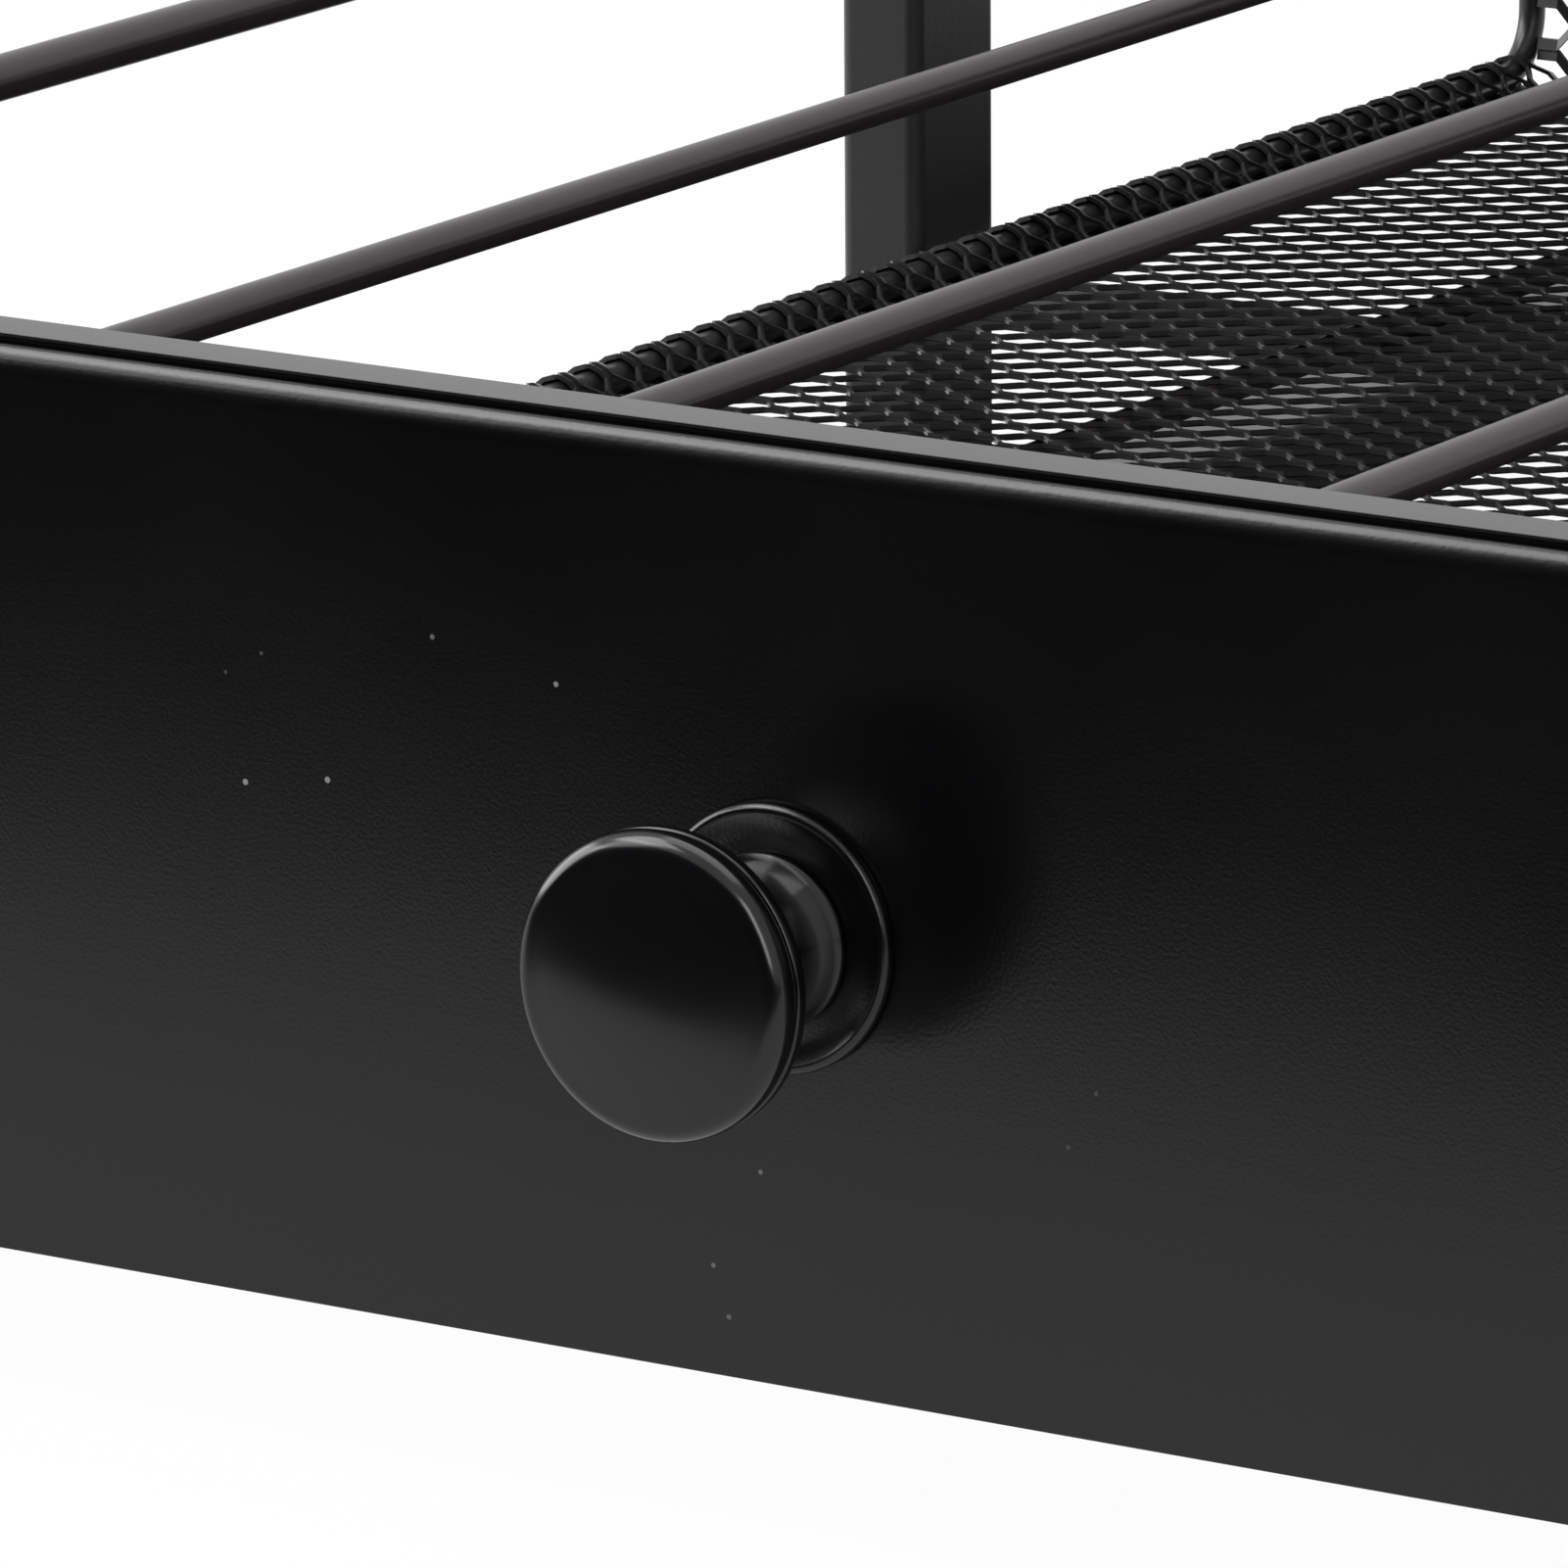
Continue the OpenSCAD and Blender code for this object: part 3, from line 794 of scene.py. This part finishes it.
# %% Paint the rest of the construction model
paint_of_slot = {"frame": frame_paint, "panel": panel_paint, "wire": wire_paint,
                 "mesh": mesh_paint, "knob": knob_lacquer, "rubber": rubber_finish,
                 "cap": cap_plastic, "zinc": zinc}
for part in frame["record"]["subparts"]:
    node = frame["nodes"][part["node"]]
    dipped = part["node"].startswith("back_upright")
    node.data.materials.clear()
    node.data.materials.append(mesh_paint if dipped else paint_of_slot[part["material_slot"]])

# %% [markdown]
# ## Floor, light and dark cards
# Black paint shows its surroundings more than its own colour. A pale floor lights the lower half of
# the panel, and dark cards that only reflections can see keep the upper half black, as
# photographers do: one lies on the floor in front and one stands at its far edge. A third card
# lies under the tray as a painted shadow: reflections see it in place of the drawer's own shadow on
# the floor, which the glowing floor does not show. Five large soft lamps draw the long highlights.

# %% Floor and world
def seen_directly(nodes):
    """1 for camera, reflected and transmitted rays; 0 for the light that falls on things."""
    path = nodes.tree.nodes.new("ShaderNodeLightPath")
    camera, glossy, through = (Value(nodes, path.outputs[name]) for name in
                               ("Is Camera Ray", "Is Glossy Ray", "Is Transmission Ray"))
    seen = camera + glossy + through
    return seen.math("MINIMUM", seen, 1.0)


floor_material = bpy.data.materials.new("floor_white")
floor_material.use_nodes = True
floor_nodes = Nodes(floor_material.node_tree)
floor_nodes.tree.nodes.remove(floor_nodes.tree.nodes["Principled BSDF"])
lit = floor_nodes.add("ShaderNodeBsdfDiffuse", {}, {"Color": (0.80, 0.80, 0.80, 1)}, out="BSDF")
glow = floor_nodes.add("ShaderNodeEmission", {}, {"Color": (1, 1, 1, 1), "Strength": 1.0},
                       out="Emission")
pale = floor_nodes.add("ShaderNodeMixShader", {}, {0: 0.96, 1: lit, 2: glow}, out="Shader")
both = floor_nodes.add("ShaderNodeMixShader", {}, {0: seen_directly(floor_nodes), 1: lit, 2: pale},
                       out="Shader")
floor_nodes.feed(floor_nodes.tree.nodes["Material Output"].inputs["Surface"], both)
clear_selection()
bpy.ops.mesh.primitive_plane_add(size=12, location=(0, 0, -0.2 * mm))
floor = bpy.context.object
floor.name = "floor"
floor.data.materials.append(floor_material)

world = bpy.data.worlds.new("studio")
bpy.context.scene.world = world
world.use_nodes = True
world_nodes = Nodes(world.node_tree)
backdrop = world_nodes.blend(seen_directly(world_nodes), (0.34, 0.34, 0.35, 1), (1, 1, 1, 1))
world_nodes.feed(world.node_tree.nodes["Background"].inputs["Color"], backdrop)
print("floor and world ready")

# %% Dark cards for reflections
card_black = Finish("card_black", Base_Color=(0.004, 0.004, 0.004, 1), Specular_IOR_Level=0.0)


def dark_card(name, low, high):
    """A thin card that only reflections see."""
    card = block(low, high)
    card.name = name
    card.data.materials.append(card_black.material)
    for ray in ("visible_camera", "visible_diffuse", "visible_transmission", "visible_shadow",
                "visible_volume_scatter"):
        setattr(card, ray, False)


card_back = front_y - 0.137
card_front = card_back - 3
card_left, card_right = -8, 4
dark_card("card_floor", (card_left, card_front, 0.001), (card_right, card_back, 0.002))
# The card under the tray is a painted shadow: reflections see it in place of the drawer's own
# shadow on the floor beneath, which the glowing floor does not show.
dark_card("card_painted_shadow", (-0.20, front_y + 0.012, 0.0001), (0.20, 0.12, 0.0002))
dark_card("card_front", (card_left, card_front - 0.01, 0), (card_right, card_front, 3.2))
print("dark cards in front of Y", round(card_back, 3))


# %% Soft lamps
def soft_lamp(name, place, aim, width, height, power):
    """A rectangular lamp that looks at a point."""
    clear_selection()
    bpy.ops.object.light_add(type="AREA", location=place)
    lamp = bpy.context.object
    lamp.name = name
    lamp.data.shape = "RECTANGLE"
    lamp.data.size, lamp.data.size_y = width, height
    lamp.data.energy = power
    lamp.rotation_euler = (Vector(aim) - Vector(place)).to_track_quat("-Z", "Y").to_euler()


panel_aim = (0, front_y + 0.05, 0.05)
stand_aim = (0, 0, 0.05)
soft_lamp("lamp_left", (-0.95, -0.95, 0.95), panel_aim, 0.7, 0.7, 5)
soft_lamp("lamp_high", (-0.75, -0.60, 1.25), panel_aim, 0.9, 0.7, 12)
soft_lamp("lamp_top", (0.0, 0.25, 1.5), stand_aim, 1.4, 1.2, 11)
soft_lamp("lamp_right", (0.91, -1.10, 0.66), panel_aim, 0.30, 1.0, 6)
soft_lamp("lamp_side", (-1.2, -0.45, 0.42), panel_aim, 1.0, 0.62, 10)
print("five lamps ready")

# %% [markdown]
# ## The camera
# The place, turn and lens were worked out from the photo's vanishing points: the panel's edges and
# the mesh run to one, the wires to another. A long lens from about a metre away keeps them nearly
# parallel.

# %% Place the camera
azimuth, elevation, roll = math.radians(32.48), math.radians(14.14), math.radians(-0.378)
look = Vector((-math.sin(azimuth) * math.cos(elevation), math.cos(azimuth) * math.cos(elevation),
               -math.sin(elevation)))
level = Vector((math.cos(azimuth), math.sin(azimuth), 0))
upright = level.cross(look)
right = math.cos(roll) * level + math.sin(roll) * upright
up = -math.sin(roll) * level + math.cos(roll) * upright
turn = Matrix((right, up, -look)).transposed()
clear_selection()
bpy.ops.object.camera_add()
camera = bpy.context.object
camera.matrix_world = Matrix.Translation((0.4865, -1.04875, 0.2848)) @ turn.to_4x4()
camera.data.sensor_width = 36
camera.data.lens = 300.07
camera.data.clip_start, camera.data.clip_end = 0.01, 50
bpy.context.scene.camera = camera
bpy.context.scene.view_settings.view_transform = "Standard"
print("camera at", tuple(round(x, 4) for x in camera.location))
